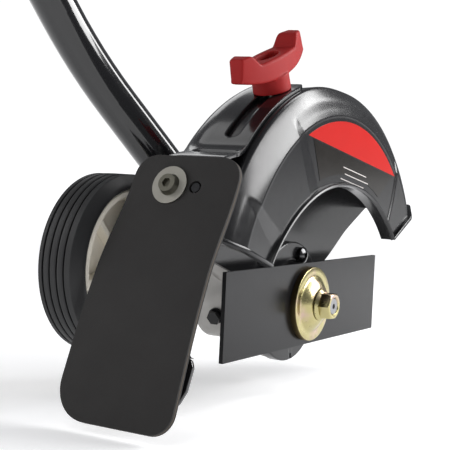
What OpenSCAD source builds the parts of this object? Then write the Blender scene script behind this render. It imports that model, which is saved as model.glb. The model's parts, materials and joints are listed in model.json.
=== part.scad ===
// Powered lawn edger attachment for a split-shaft trimmer.
// Working frame of the modules: the origin is on the blade arbor's axis, in the
// blade's outer face. +X is outboard along the arbor, +Y is forward, +Z is up.
// Every module then shifts its piece so that the row's origin is in the upper
// end of the shaft tube, where the power head's coupler takes hold.

/* [Blade and arbor] */
// Tip-to-tip length of the flat blade bar
blade_l = 196.85; // [150:0.05:200]
// Width of the blade bar
blade_w = 50.8; // [40:0.1:56]
// Thickness of the blade bar
blade_t = 2.5; // [2:0.1:3]
// Diameter of the arbor shaft in its bearings
arbor_d = 12; // [12:0.5:12]
// Diameter of the arbor's threaded end
stud_d = 9.6; // [8:0.1:10]
// Radius of the dished blade retainer
retainer_r = 22.9; // [18:0.1:26]

/* [Guard] */
// Radius of the guard's rim about the arbor
rim_r = 135.4; // [130:0.1:135.5]
// Radius where the flat face meets the sloping shoulder
face_r = 116.5; // [112:0.5:120]
// Distance of the guard's flat face from the blade's outer face
face_x = 20; // [18:0.5:22]
// Distance of the guard's back wall behind the blade's outer face
back_x = 20; // [19:0.5:21]
// Wall thickness of the moulding
guard_t = 2.4; // [2:0.1:3]
// Radius of the arched opening in the flat face
arch_r = 105.4; // [100:0.1:108]
// Depth of the arch's centre below the arbor
arch_drop = 31.8; // [28:0.1:34]
// Angle of the guard's front end above the forward direction
guard_from = 26; // [24:1:30]
// Angle of the guard's rear end
guard_to = 161; // [158:1:162]

/* [Depth bracket] */
// Thickness of the bracket's sheet steel
sheet_t = 2.2; // [2:0.1:2.5]
// Width of the adjusting slot
slot_w = 8.6; // [8.4:0.1:9]
// Angle of the slot's lower end about the arbor
slot_low = 134; // [132:1:135]
// Angle of the knob about the arbor
knob_at = 112; // [111:0.5:114]
// Sideways place of the slot and the knob
slot_x = -3.3; // [-5:0.1:-2]
// Angle of the band's front end about the arbor
nose_at = 105.5; // [103:0.5:107]
// Tilt of the tail plate and the flap from upright
flap_tilt = 22; // [18:1:26]
// Thickness of the rubber flap
flap_t = 3.6; // [3:0.1:4]

/* [Wheel] */
// Outer radius of the tyre
wheel_r = 50.5; // [48:0.5:52]
// Width of the tyre
wheel_w = 29; // [27:0.5:30]
// Inner radius of the tyre, where the hub begins
hub_r = 42.5; // [40:0.5:43]
// Radius of the wheel's axle bolt
axle_r = 4; // [4:0.1:4]

/* [Shaft] */
// Outside diameter of the shaft tube
tube_d = 25.4; // [25:0.1:25.4]
// Wall thickness of the shaft tube
tube_t = 1.6; // [1.4:0.1:1.8]
// Lean of the lower shaft away from the blade side
lean = 28.9; // [27:0.1:30]
// Rise of the lower shaft above level, seen from the side
rise = 61.5; // [60:0.1:63]
// Sideways run of the upper shaft for every 24 mm along the lower one
bend_run = 7; // [7:1:7]
// Radius of the shaft's bend
bend_r = 230; // [220:1:260]
// Heading of the bend about the lower shaft
bend_heading = -10.2; // [-12:0.1:-8]
// Distance from the bevel gears' apex to the start of the bend
lower_l = 153.4; // [150:0.1:160]
// Length of the straight upper shaft
upper_l = 560; // [450:10:600]

/* [Hidden] */

$fn = 96;
eps = 0.01;
run = 0.05;             // radial clearance of a running fit
gap = 0.3;              // clearance between bodies that only pass each other

// Bevel gears: both axes meet at the apex
apex_x = -31;
gear_teeth = 20;
pinion_teeth = 15;
shaft_angle = 90 - lean;
cone_out = 24;
cone_in = 15;
pinion_cone = atan(sin(shaft_angle) / (gear_teeth / pinion_teeth + cos(shaft_angle)));
gear_cone = shaft_angle - pinion_cone;

// Bores and shells
case_r = 28;
flange_r = 37.5;
nose_r = 15.6;
boss_r = 17.5;
front_x = -back_x - 0.4;
cap_x = -64;
socket_in = 50;
socket_out = 80;
bore_r = 11.5;
core_r = 3.1;
liner_r = 5.6;
guard_screw_r = 30.4;
screw_from = 70;
spigot_l = 40;
button_back = 62;

// Wheel and flap places
wheel_x = -50;
wheel_y = -115;
wheel_z = 26;
skirt_x = -40;
shoulder_r = 22;
ledge_x = -21;
band_x = 10;
bolt_r = 4;
flap_y = -130;
flap_z = 86;
flap_split = -34;
washer_u = -14;
washer_v = -15;
stud_u = 1.3;
label_slope = -10.1;
label_low = 93.4;
knob_half = 33.8;
knob_turn = 86.5;

function turn_x(v, a) = [v[0], v[1] * cos(a) - v[2] * sin(a), v[1] * sin(a) + v[2] * cos(a)];
function turn_y(v, a) = [v[0] * cos(a) + v[2] * sin(a), v[1], -v[0] * sin(a) + v[2] * cos(a)];
function turn_z(v, a) = [v[0] * cos(a) - v[1] * sin(a), v[0] * sin(a) + v[1] * cos(a), v[2]];
function from_shaft(v) = turn_x(turn_y(v, -lean), 90 - rise) + [apex_x, 0, 0];
bend_a = atan2(bend_run, 24);
upper_start = [bend_r * (1 - cos(bend_a)), 0, lower_l + bend_r * sin(bend_a)];
upper_end = upper_start + upper_l * [sin(bend_a), 0, cos(bend_a)];
spigot = from_shaft(turn_z(upper_end, bend_heading));

// ---------- frames ----------

module place() {
    translate(-spigot) children();
}

// Local z runs along the arbor, local x is forward and local y is up
module about_arbor() {
    rotate([90, 0, 90]) children();
}

// Local z runs up the lower shaft from the bevel gears' apex
module along_shaft() {
    translate([apex_x, 0, 0]) rotate([90 - rise, 0, 0]) rotate([0, -lean, 0])
        rotate([0, 0, bend_heading]) children();
}

// Local z runs up the upper shaft from its lower end
module along_upper() {
    along_shaft() translate(upper_start) rotate([0, bend_a, 0]) children();
}

// Local z is radial from the arbor at the given angle, local x stays along the arbor
module radial(angle, x) {
    translate([x, 0, 0]) rotate([angle - 90, 0, 0]) children();
}

// Local x-y plane is the flap's rear face, local z points to the rear
module on_flap() {
    translate([0, flap_y, flap_z]) rotate([90 - flap_tilt, 0, 0]) children();
}

// ---------- shared shapes ----------

module ring(r_out, r_in, h) {
    difference() {
        cylinder(r = r_out, h = h);
        translate([0, 0, -1]) cylinder(r = r_in, h = h + 2);
    }
}

module hexagon(across, h) {
    cylinder(d = across / cos(30), h = h, $fn = 6);
}

// Part of a ring about local z, from one angle to another
module sector(from, to, points) {
    rotate([0, 0, from]) rotate_extrude(angle = to - from, $fn = 180) polygon(points);
}

// Stretch of the route along the bend, cut from a full torus by a wedge
module bend(r_out, r_in) {
    far = 300;
    translate([bend_r, 0, lower_l]) rotate([90, 0, 180]) intersection() {
        rotate_extrude($fn = 180) translate([bend_r, 0]) difference() {
            circle(r = r_out);
            if (r_in > 0) circle(r = r_in);
        }
        translate([0, 0, -20]) linear_extrude(40)
            polygon([[0, 0], [far, 0], [far * cos(bend_a), far * sin(bend_a)]]);
    }
}

// Hollow route of the shaft from a start distance to an end short of the tip
module route(r_out, r_in, start, short) {
    along_shaft() {
        translate([0, 0, start]) ring(r_out, r_in, lower_l - start);
        bend(r_out, r_in);
    }
    along_upper() ring(r_out, r_in, upper_l - short);
}

// Straight bevel gear on local z with its apex at the origin
module bevel(teeth, cone, first, back) {
    low = cone_in * cos(cone);
    high = cone_out * cos(cone);
    root = 1.3;
    translate([0, 0, low]) cylinder(r1 = cone_in * sin(cone) - root, r2 = cone_out * sin(cone) - root,
        h = high - low);
    translate([0, 0, high - eps]) cylinder(r = cone_out * sin(cone) - root, h = back);
    for (i = [0:teeth - 1])
        rotate([0, 0, first + i * 360 / teeth]) rotate([0, cone, 0])
            translate([-root - 0.9, -0.55, cone_in + 0.4]) cube([root + 1.6, 1.1, cone_out - cone_in - 0.8]);
}

module rounded(points, r) {
    offset(r = r, $fn = 32) offset(delta = -r) polygon(points);
}

// Cap screw with a domed head, its axis on local z and its shank below z = 0
module pan_screw(d, l, head_d, head_h) {
    translate([0, 0, -l]) cylinder(d = d, h = l + eps);
    difference() {
        intersection() {
            cylinder(d = head_d, h = head_h);
            translate([0, 0, head_h - head_d * 0.8]) sphere(d = head_d * 1.6);
        }
        translate([0, 0, head_h * 0.4]) cylinder(d = head_d * 0.42, h = head_h, $fn = 6);
    }
}

// ---------- shaft and drive ----------

module shaft_tube() {
    color("black") place() difference() {
        route(tube_d / 2, tube_d / 2 - tube_t, socket_in, 0);
        along_upper() translate([0, 0, upper_l - button_back]) rotate([0, 90, 0])
            cylinder(r = 4.6, h = tube_d);
        along_upper() translate([0, 0, upper_l - spigot_l - 3]) difference() {
            cylinder(r = tube_d, h = 2);
            translate([0, 0, -1]) cylinder(r = tube_d / 2 - 0.5, h = 4);
        }
        along_shaft() translate([0, 0, socket_in + 14]) rotate([0, 90, 0])
            cylinder(r = 3.1, h = tube_d);
    }
}

module tube_liner() {
    color("ivory") place() route(liner_r, liner_r - 1.4, socket_in + 4, 34);
}

module flexible_core() {
    color("dimgray") place() {
        along_shaft() {
            translate([0, 0, socket_in]) cylinder(r = core_r, h = lower_l - socket_in);
            bend(core_r, 0);
        }
        along_upper() cylinder(r = core_r, h = upper_l - 32);
    }
}

module end_bush() {
    color("goldenrod") place() along_upper() translate([0, 0, upper_l - 24])
        ring(tube_d / 2 - tube_t, 5 + run, 18);
}

module drive_square() {
    color("silver") place() along_upper() {
        translate([0, 0, upper_l - 31]) cylinder(r = 5, h = 26);
        translate([-2.4, -2.4, upper_l - 6]) cube([4.8, 4.8, 24]);
    }
}

module release_button() {
    color("silver") place() along_upper() translate([0, 0, upper_l - button_back]) rotate([0, 90, 0]) {
        translate([0, 0, 9.6]) cylinder(r = 4.5, h = 4.8);
        translate([0, 0, 14.4 - eps]) intersection() {
            cylinder(r = 4.5, h = 2);
            translate([0, 0, -4.6]) sphere(r = 6);
        }
    }
}

module button_spring() {
    color("gray") place() along_upper() translate([0, -3, upper_l - button_back]) {
        translate([8.7, 0, -34]) cube([0.8, 6, 38]);
        translate([8.7, 0, -36]) cube([1.6, 6, 2.5]);
    }
}

// ---------- gear case ----------

module gear_case() {
    color("lightgray") place() difference() {
        union() {
            about_arbor() {
                translate([0, 0, front_x - 4]) cylinder(r = flange_r - 1, h = 4);
                translate([0, 0, cap_x]) cylinder(r = case_r, h = front_x - cap_x - 1);
                translate([0, 0, front_x - eps]) cylinder(r = nose_r, h = 8);
            }
            intersection() {
                along_shaft() cylinder(r = boss_r, h = socket_out);
                translate([-200 + front_x - 2, -200, -50]) cube([200, 300, 300]);
            }
            along_shaft() translate([0, 0, 66]) rotate([0, 90, 0]) translate([0, 0, boss_r - 3])
                cylinder(r = 6, h = 5);
        }
        about_arbor() {
            translate([0, 0, cap_x - 40]) cylinder(r = case_r + gap, h = 40);
            translate([0, 0, cap_x - 1]) cylinder(r = bore_r + run, h = 11);
            translate([0, 0, cap_x + 7]) cylinder(r = 18.6, h = 26);
            translate([0, 0, front_x - 10]) cylinder(r = 14, h = 9);
            translate([0, 0, front_x - 12]) cylinder(r = 11, h = 30);
            for (i = [0:3]) rotate([0, 0, 45 + i * 90]) translate([21, 0, cap_x - 1])
                cylinder(r = 1.6, h = 9);
            for (i = [0:2]) rotate([0, 0, screw_from + i * 120])
                translate([guard_screw_r, 0, front_x - 8]) cylinder(r = 2.1, h = 12);
        }
        along_shaft() {
            translate([0, 0, 12]) cylinder(r = 12.2, h = 22);
            translate([0, 0, 30]) cylinder(r = 13, h = 8);
            translate([0, 0, 34]) cylinder(r = 11, h = 20);
            translate([0, 0, socket_in - 1]) cylinder(r = tube_d / 2 + 0.02, h = socket_out);
            translate([0, 0, socket_in + 14]) rotate([0, 90, 0]) cylinder(r = 3, h = 40);
            translate([0, 0, 72]) rotate([0, -90, 0]) cylinder(r = 2.6, h = 40);
        }
        grease_place() cylinder(r = 4, h = 30);
    }
}

// The grease plug's seat is on the rear of the case, just below the arbor
module grease_place() {
    about_arbor() translate([0, 0, -50]) rotate([0, 0, 202]) rotate([0, 90, 0])
        translate([0, 0, case_r - 8]) children();
}

module grease_plug() {
    color("black") place() grease_place() {
        translate([0, 0, 1]) cylinder(r = 4, h = 7);
        translate([0, 0, 8]) cylinder(r = 5.2, h = 1.4);
        translate([0, 0, 9.3]) hexagon(8, 3.6);
    }
}

module case_cap() {
    color("silver") place() about_arbor() difference() {
        union() {
            translate([0, 0, cap_x - 3]) cylinder(r = case_r, h = 3);
            translate([0, 0, cap_x - 6]) cylinder(r = 13, h = 4);
            for (i = [0:3]) rotate([0, 0, 45 + i * 90]) translate([21, 0, cap_x - 4.5])
                cylinder(r = 5, h = 4);
        }
        for (i = [0:3]) rotate([0, 0, 45 + i * 90]) translate([21, 0, cap_x - 8])
            cylinder(r = 1.9, h = 12);
        translate([0, 0, cap_x - 3]) cylinder(r = 7, h = 5);
    }
}

module cap_screws() {
    color("gray") place() about_arbor() for (i = [0:3])
        rotate([0, 0, 45 + i * 90]) translate([21, 0, cap_x - 4.5]) rotate([180, 0, 0])
            pan_screw(3.2, 12, 7, 2.6);
}

module input_bearing() {
    color("silver") place() along_shaft() translate([0, 0, 30.5]) ring(13, 5 + run, 7);
}

module bearing_circlip() {
    color("dimgray") place() along_shaft() translate([0, 0, 37.7]) difference() {
        ring(6.6, 4.6, 1);
        translate([0, -1.5, -1]) cube([20, 3, 4]);
    }
}

module arbor_bearings() {
    color("silver") place() about_arbor() {
        translate([0, 0, front_x - 9.5]) ring(14, arbor_d / 2 + run, 8);
        translate([0, 0, cap_x + 0.5]) ring(bore_r, arbor_d / 2 + run, 6.5);
    }
}

module oil_seal() {
    color("black") place() about_arbor() translate([0, 0, front_x + 1.5]) difference() {
        cylinder(r = 11, h = 6);
        translate([0, 0, -1]) cylinder(r = arbor_d / 2 + run, h = 8);
        translate([0, 0, -1]) ring(9.4, 7.4, 5);
    }
}

module clamp_screw() {
    color("gray") place() along_shaft() translate([0, 0, 66]) rotate([0, 90, 0])
        translate([0, 0, boss_r + 2]) {
            cylinder(r = 4.6, h = 4);
            translate([0, 0, -eps]) hexagon(8, 5.5);
        }
}

module locating_screw() {
    color("gray") place() along_shaft() translate([0, 0, 72]) rotate([0, -90, 0])
        translate([0, 0, boss_r + 0.1]) {
            hexagon(8, 4);
            translate([0, 0, -4.6]) cylinder(r = 2.5, h = 5);
        }
}

module pinion_shaft() {
    color("gray") place() along_shaft() difference() {
        union() {
            bevel(pinion_teeth, pinion_cone, 180 - bend_heading + 180 / pinion_teeth, 4);
            translate([0, 0, 20]) cylinder(r = 5, h = 28.5);
        }
        translate([-2.6, -2.6, 40]) cube([5.2, 5.2, 12]);
        translate([0, 0, 37.6]) ring(8, 4.6, 1.2);
    }
}

// ---------- arbor and blade ----------

module bevel_gear() {
    color("gray") place() translate([apex_x, 0, 0]) rotate([0, -90, 0]) difference() {
        bevel(gear_teeth, gear_cone, rise - 90, 4);
        cylinder(r = arbor_d / 2, h = 60);
    }
}

module arbor_shaft() {
    color("silver") place() about_arbor() difference() {
        union() {
            translate([0, 0, cap_x]) cylinder(r = arbor_d / 2, h = -cap_x + 2);
            cylinder(r = stud_d / 2, h = 18);
        }
        translate([0, 0, 16.4]) cylinder(r = 1.6, h = 4);
    }
}

module inner_flange() {
    color("dimgray") place() about_arbor() difference() {
        union() {
            translate([0, 0, -blade_t - 4]) cylinder(r = 19.5, h = 4);
            translate([0, 0, -blade_t - 9.4]) cylinder(r = 10, h = 6);
        }
        translate([0, 0, -20]) cylinder(r = arbor_d / 2, h = 30);
    }
}

module blade() {
    color("#2b2b2d") place() difference() {
        translate([-blade_t, -blade_l / 2, -blade_w / 2]) cube([blade_t, blade_l, blade_w]);
        about_arbor() translate([0, 0, -10]) cylinder(r = arbor_d / 2, h = 20);
    }
}

module retainer_washer() {
    color("#c9b36a") place() about_arbor() difference() {
        rotate_extrude() polygon([[stud_d / 2 + 0.05, 9], [9.5, 9], [13, 7.7], [16.4, 5.8],
            [18.6, 4.4], [19.4, 3.9], [retainer_r - 0.6, 3.9], [retainer_r, 3.4], [retainer_r, 0],
            [retainer_r - 2, 0], [retainer_r - 2, 2.2], [18.2, 2.2], [15.4, 4.2], [9, 7.2], [9, 2],
            [stud_d / 2 + 0.05, 2]]);
    }
}

module flange_nut() {
    color("#c9b36a") place() about_arbor() difference() {
        union() {
            translate([0, 0, 9]) cylinder(r1 = 10, r2 = 8.2, h = 2.4);
            translate([0, 0, 10]) intersection() {
                hexagon(15, 8.5);
                translate([0, 0, -3.2]) sphere(r = 13.4);
            }
        }
        translate([0, 0, 5]) cylinder(r = stud_d / 2, h = 20);
    }
}

// ---------- guard ----------

guard_section = [[64, face_x], [face_r, face_x], [rim_r - 1, 13.4], [rim_r, 12.4],
    [rim_r, -back_x + 1.5], [rim_r - 1.5, -back_x], [flange_r - 4, -back_x],
    [flange_r - 4, -back_x + guard_t], [rim_r - guard_t, -back_x + guard_t],
    [rim_r - guard_t, 12], [face_r - 1, face_x - guard_t], [64, face_x - guard_t]];

// Flange that frames both ends of the moulding, standing out from face, shoulder and rim
end_section = [[70, face_x - 1], [70, face_x + 2.4], [face_r + 1.4, face_x + 2.4],
    [rim_r + 2.2, 14.8], [rim_r + 3.4, 13], [rim_r + 3.4, -back_x + 0.6],
    [rim_r - 1.2, -back_x + 0.6], [rim_r - 1.2, 12], [face_r, face_x - 1]];

module guard() {
    color("#1d1d1f") place() difference() {
        union() {
            about_arbor() difference() {
                union() {
                    sector(guard_from, guard_to, guard_section);
                    intersection() {
                        translate([0, -arch_drop, face_x - 1.2]) cylinder(r = arch_r + 2.4, h = 3.2);
                        sector(guard_from, guard_to, [[70, 0], [face_r - 2, 0], [face_r - 2, 40], [70, 40]]);
                    }
                    sector(guard_from - 0.3, guard_from + 0.9, end_section);
                    sector(guard_to - 0.9, guard_to + 0.3, end_section);
                }
                translate([0, -arch_drop, face_x - guard_t - 1]) cylinder(r = arch_r, h = guard_t + 6);
            }
            about_arbor() translate([0, 0, -back_x]) cylinder(r = flange_r, h = 7.4);
            about_arbor() rotate([0, 0, knob_at]) translate([rim_r - 12, 0, slot_x]) rotate([0, 90, 0])
                cylinder(r = 9, h = 11);
        }
        about_arbor() {
            translate([0, 0, -back_x - 1]) cylinder(r = nose_r + 0.1, h = 12);
            translate([0, 0, -back_x + guard_t]) cylinder(r = 26, h = 8);
            for (i = [0:2]) rotate([0, 0, screw_from + i * 120])
                translate([guard_screw_r, 0, -back_x - 1]) cylinder(r = 2.3, h = 12);
            rotate([0, 0, -84]) translate([33.5, -1, -back_x + 5]) cube([6, 2, 5]);
        }
        radial(knob_at, slot_x) cylinder(r = bolt_r, h = 160);
        radial(knob_at, slot_x) translate([0, 0, rim_r - 20]) hexagon(13.2, 12.5);
    }
}

module guard_screws() {
    color("gray") place() about_arbor() for (i = [0:2])
        rotate([0, 0, screw_from + i * 120])
            translate([guard_screw_r, 0, -back_x + 7.4]) pan_screw(4.2, 13, 10.4, 4.6);
}

// Thin decal on the flat face: a segment of a disc above a sloping chord
module guard_label() {
    color("#c8202c") place() about_arbor() difference() {
        translate([0, 0, face_x + 0.05]) cylinder(r = face_r - 3.3, h = 0.3);
        rotate([0, 0, label_slope]) translate([-200, label_low - 400, 0]) cube([400, 400, 60]);
    }
}

module knob_bolt() {
    color("silver") place() radial(knob_at, slot_x) {
        translate([0, 0, rim_r - 18]) hexagon(13, 6);
        translate([0, 0, rim_r - 12.5]) cylinder(r = bolt_r, h = 24);
    }
}

// ---------- adjusting knob ----------

// Local z is the knob's axis, from the top of its washer
module on_knob() {
    radial(knob_at, slot_x) translate([0, 0, band_out + 0.8]) children();
}

// Half the wing bar's thickness at a distance from the knob's axis
function bar_half(u) = 3.6 + 6.2 * max(0, 1 - pow(u / knob_half, 2));
bar_plan = concat([for (u = [-knob_half - 1.2:5:knob_half + 1.2]) [u, bar_half(u)]],
    [for (u = [knob_half + 1.2:-5:-knob_half - 1.2]) [u, -bar_half(u)]]);

module knob() {
    color("#c3282c") place() on_knob() rotate([0, 0, knob_turn]) difference() {
        union() {
            cylinder(r = 10.9, h = 13);
            intersection() {
                rotate([90, 0, 0]) linear_extrude(30, center = true) rounded([[-knob_half, 13.9],
                    [-30.8, 27.6], [-22.5, 27.6], [-16, 20.4], [16, 20.4], [22.5, 27.6], [30.8, 27.6],
                    [knob_half, 13.9], [24, 10.8], [14, 8.9], [0, 8.2], [-14, 8.9], [-24, 10.8]], 2);
                linear_extrude(40) polygon(bar_plan);
            }
        }
        translate([0, 0, -1]) cylinder(r = 6, h = 13);
    }
}

module knob_insert() {
    color("goldenrod") place() on_knob() ring(6, bolt_r + run, 11.9);
}

module knob_washer() {
    color("gray") place() on_knob() translate([0, 0, -0.7]) ring(9.8, bolt_r + 0.2, 0.6);
}

// ---------- depth bracket ----------

band_in = rim_r + gap + 0.1;
band_out = band_in + sheet_t;

// Side view of the band's flare, ledge and tail plate, in forward and up
tail_start = [flap_y + (flap_t + sheet_t / 2) * cos(flap_tilt),
    flap_z - (flap_t + sheet_t / 2) * sin(flap_tilt)];
function on_tail(v) = tail_start + v * [sin(flap_tilt), cos(flap_tilt)];
flare = [for (a = [135, 137.5]) (band_in + sheet_t / 2 + 0.1) * [cos(a), sin(a)]];
ledge_path = concat(flare, [[-103.4, 91.4], [-107, 90.4], [-120, 88.4], on_tail(0)]);

// Section of the band, over its rounded shoulder and down the side skirt
function shoulder(r) = [for (a = [0:15:90])
    [band_out - shoulder_r + r * cos(a), skirt_x + shoulder_r - r * sin(a)]];
band_section = concat([[band_in, band_x], [band_out, band_x]], shoulder(shoulder_r),
    [[98, skirt_x], [98, skirt_x + sheet_t]],
    [for (i = [6:-1:0]) shoulder(shoulder_r - sheet_t)[i]]);

function side(p, i) = let (a = p[max(i - 1, 0)], b = p[min(i + 1, len(p) - 1)], d = b - a)
    [-d[1], d[0]] / norm(d);
function strip(p, t) = concat([for (i = [0:len(p) - 1]) p[i] + side(p, i) * t / 2],
    [for (i = [len(p) - 1:-1:0]) p[i] - side(p, i) * t / 2]);

// Round-ended slot through the band, cut as a wedge between two radial drillings
module slot_cut(from, to) {
    far = band_out + 40;
    wide = slot_w - 0.1;
    translate([slot_x - wide / 2, 0, 0]) rotate([90, 0, 90]) linear_extrude(wide)
        polygon([50 * [cos(from), sin(from)], far * [cos(from), sin(from)], far * [cos(to), sin(to)],
            50 * [cos(to), sin(to)]]);
    for (a = [from, to]) radial(a, slot_x) translate([0, 0, band_in - 6])
        cylinder(r = slot_w / 2, h = sheet_t + 12);
}

module wheel_bracket() {
    color("#161618") place() difference() {
        union() {
            about_arbor() sector(nose_at, 137.5, band_section);
            translate([ledge_x, 0, 0]) rotate([90, 0, 90])
                linear_extrude(band_x - ledge_x) polygon(strip(ledge_path, sheet_t + 0.4));
            translate([skirt_x, 0, 0]) rotate([90, 0, 90]) linear_extrude(sheet_t) skirt_outline();
            on_flap() translate([0, 0, -flap_t - sheet_t]) linear_extrude(sheet_t)
                rounded([[ledge_x, 3], [9, 3], [20, -20], [20, -103], [27, -103], [29.4, -108],
                    [29.4, -122], [27, -127], [-20, -127], [ledge_x, -100]], 2);
            about_axle() translate([0, 0, skirt_x - 1]) cylinder(r = 12, h = 1 + eps);
        }
        slot_cut(knob_at - 1.5, slot_low - 1.9);
        for (x = [band_x, skirt_x]) radial(nose_at, x) rotate([0, 0, 45])
            translate([-3, -3, band_in - 20]) cube([6, 6, 40]);
        about_axle() translate([0, 0, skirt_x - 5]) cylinder(r = axle_r, h = 10);
        on_flap() for (u = [washer_u, stud_u]) translate([u, washer_v, -flap_t - 8])
            cylinder(r = u == washer_u ? 3.05 : 2.55, h = 9);
    }
}

// Sheet side of the bracket that carries the wheel's axle
module skirt_outline() {
    rounded([[-78, 88], [-92, 84], [-106, 81], [-113, 76], [-127, 34], [-130, 16], [-124, 8],
        [-106, 6], [-97, 18], [-93, 44], [-76, 66]], 4);
}

module about_axle() {
    translate([0, wheel_y, wheel_z]) rotate([90, 0, 90]) children();
}

// ---------- flap ----------

flap_outline = [[-38, 2.2], [26.4, 2.2], [24.2, -144], [-48, -144]];

module flap_shape() {
    offset(r = 12, $fn = 48) offset(delta = -12) polygon(flap_outline);
}

module flap_head() {
    color("#2f2d2d") place() on_flap() translate([0, 0, -flap_t]) linear_extrude(flap_t) difference() {
        flap_shape();
        translate([-60, flap_split - 200]) square([120, 200]);
        translate([washer_u, washer_v]) circle(r = 3.05, $fn = 32);
        translate([stud_u, washer_v]) circle(r = 2.55, $fn = 32);
    }
}

module flap_skirt() {
    color("#2f2d2d") place() on_flap() translate([0, 0, -flap_t + 0.1]) linear_extrude(flap_t - 0.1) difference() {
        flap_shape();
        translate([-60, flap_split - 0.4]) square([120, 200]);
    }
}

module flap_washer() {
    color("silver") place() on_flap() translate([washer_u, washer_v, 0.02]) ring(10.4, 3.1, 1.5);
}

module flap_screw() {
    color("gray") place() on_flap() translate([washer_u, washer_v, 1.6]) difference() {
        union() {
            cylinder(r1 = 6, r2 = 4.9, h = 3);
            translate([0, 0, -16]) cylinder(r = 3, h = 17);
        }
        translate([0, 0, 1]) cylinder(r = 2.7, h = 3, $fn = 6);
    }
}

module flap_nut() {
    color("silver") place() on_flap() translate([washer_u, washer_v, -flap_t - sheet_t - 5.1]) difference() {
        hexagon(10, 5);
        translate([0, 0, -1]) cylinder(r = 3, h = 8);
    }
}

module flap_stud() {
    color("black") place() on_flap() translate([stud_u, washer_v, 0]) {
        translate([0, 0, -flap_t - sheet_t - 1]) cylinder(r = 2.5, h = flap_t + sheet_t + 0.6);
        translate([0, 0, -flap_t - sheet_t - 2]) cylinder(r = 4, h = 1.9);
    }
}

// ---------- wheel ----------

hub_inner = wheel_x;
hub_outer = wheel_x - wheel_w;

module axle_bolt() {
    color("silver") place() about_axle() {
        translate([0, 0, skirt_x + sheet_t]) cylinder(r = 8, h = 2);
        translate([0, 0, skirt_x + sheet_t + 1]) hexagon(11, 5);
        translate([0, 0, hub_outer - 9]) cylinder(r = axle_r, h = skirt_x - hub_outer + 12);
    }
}

module axle_spacer() {
    color("silver") place() about_axle() translate([0, 0, wheel_x + 1.4])
        ring(7.5, axle_r + 0.02, skirt_x - 1 - wheel_x - 1.4);
}

module axle_washers() {
    color("gray") place() about_axle() {
        translate([0, 0, wheel_x + 0.3]) ring(10, axle_r + 0.02, 1);
        translate([0, 0, hub_outer - 1.5]) ring(9, axle_r + 0.02, 1.1);
    }
}

module axle_nut() {
    color("silver") place() about_axle() translate([0, 0, hub_outer - 8.2]) difference() {
        union() {
            hexagon(13, 6.6);
            translate([0, 0, -1.6]) cylinder(r = 5, h = 2);
        }
        translate([0, 0, -3]) cylinder(r = axle_r, h = 12);
    }
}

module wheel_hub() {
    color("#e6e2d6") place() about_axle() translate([0, 0, hub_outer]) difference() {
        union() {
            rotate_extrude() polygon([[6, 0.2], [11, 0.2], [12, 13], [37, 13], [38.4, 1.2], [hub_r - 1, 1.2],
                [hub_r, 3], [hub_r, wheel_w - 3], [hub_r - 1, wheel_w - 1.2], [38.4, wheel_w - 1.2],
                [37, 16], [12, 16], [11, wheel_w - 0.2], [6, wheel_w - 0.2]]);
            for (i = [0:5]) rotate([0, 0, i * 60 + 15]) translate([9, -1.3, 6]) cube([30, 2.6, wheel_w - 12]);
        }
        translate([0, 0, -1]) cylinder(r = 6, h = wheel_w + 2);
    }
}

module wheel_bush() {
    color("goldenrod") place() about_axle() translate([0, 0, hub_outer]) ring(6, axle_r + run, wheel_w);
}

module tyre() {
    color("#141415") place() about_axle() translate([0, 0, hub_outer]) difference() {
        rotate_extrude($fn = 180) polygon([[hub_r, 1], [hub_r + 1.6, 0], [wheel_r - 4.4, 0.7],
            [wheel_r - 2.2, 2.2], [wheel_r - 0.9, 4.4], [wheel_r, wheel_w / 2],
            [wheel_r - 0.9, wheel_w - 4.4], [wheel_r - 2.2, wheel_w - 2.2],
            [wheel_r - 4.4, wheel_w - 0.7], [hub_r + 1.6, wheel_w], [hub_r, wheel_w - 1]]);
        for (i = [0:3]) translate([0, 0, 5.6 + i * 6.05]) difference() {
            cylinder(r = wheel_r + 1, h = 1);
            translate([0, 0, -1]) cylinder(r = wheel_r - 2, h = 4);
        }
    }
}

shaft_tube();
tube_liner();
flexible_core();
end_bush();
drive_square();
release_button();
button_spring();
gear_case();
case_cap();
cap_screws();
input_bearing();
bearing_circlip();
arbor_bearings();
oil_seal();
grease_plug();
clamp_screw();
locating_screw();
pinion_shaft();
bevel_gear();
arbor_shaft();
inner_flange();
blade();
retainer_washer();
flange_nut();
guard();
guard_screws();
guard_label();
knob_bolt();
knob();
knob_insert();
knob_washer();
wheel_bracket();
flap_head();
flap_skirt();
flap_washer();
flap_screw();
flap_nut();
flap_stud();
axle_bolt();
axle_spacer();
axle_washers();
axle_nut();
wheel_hub();
wheel_bush();
tyre();
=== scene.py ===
"""Looks of the lawn edger attachment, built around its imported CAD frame.

Shapes are drawn in mm from the point where the arbor's axis meets the blade's outer face:
x points out of the blade along the arbor, y ahead and z up. Angles about the arbor start ahead.
"""

import json
import math

import bmesh
import bpy
from mathutils import Matrix, Vector


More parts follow.
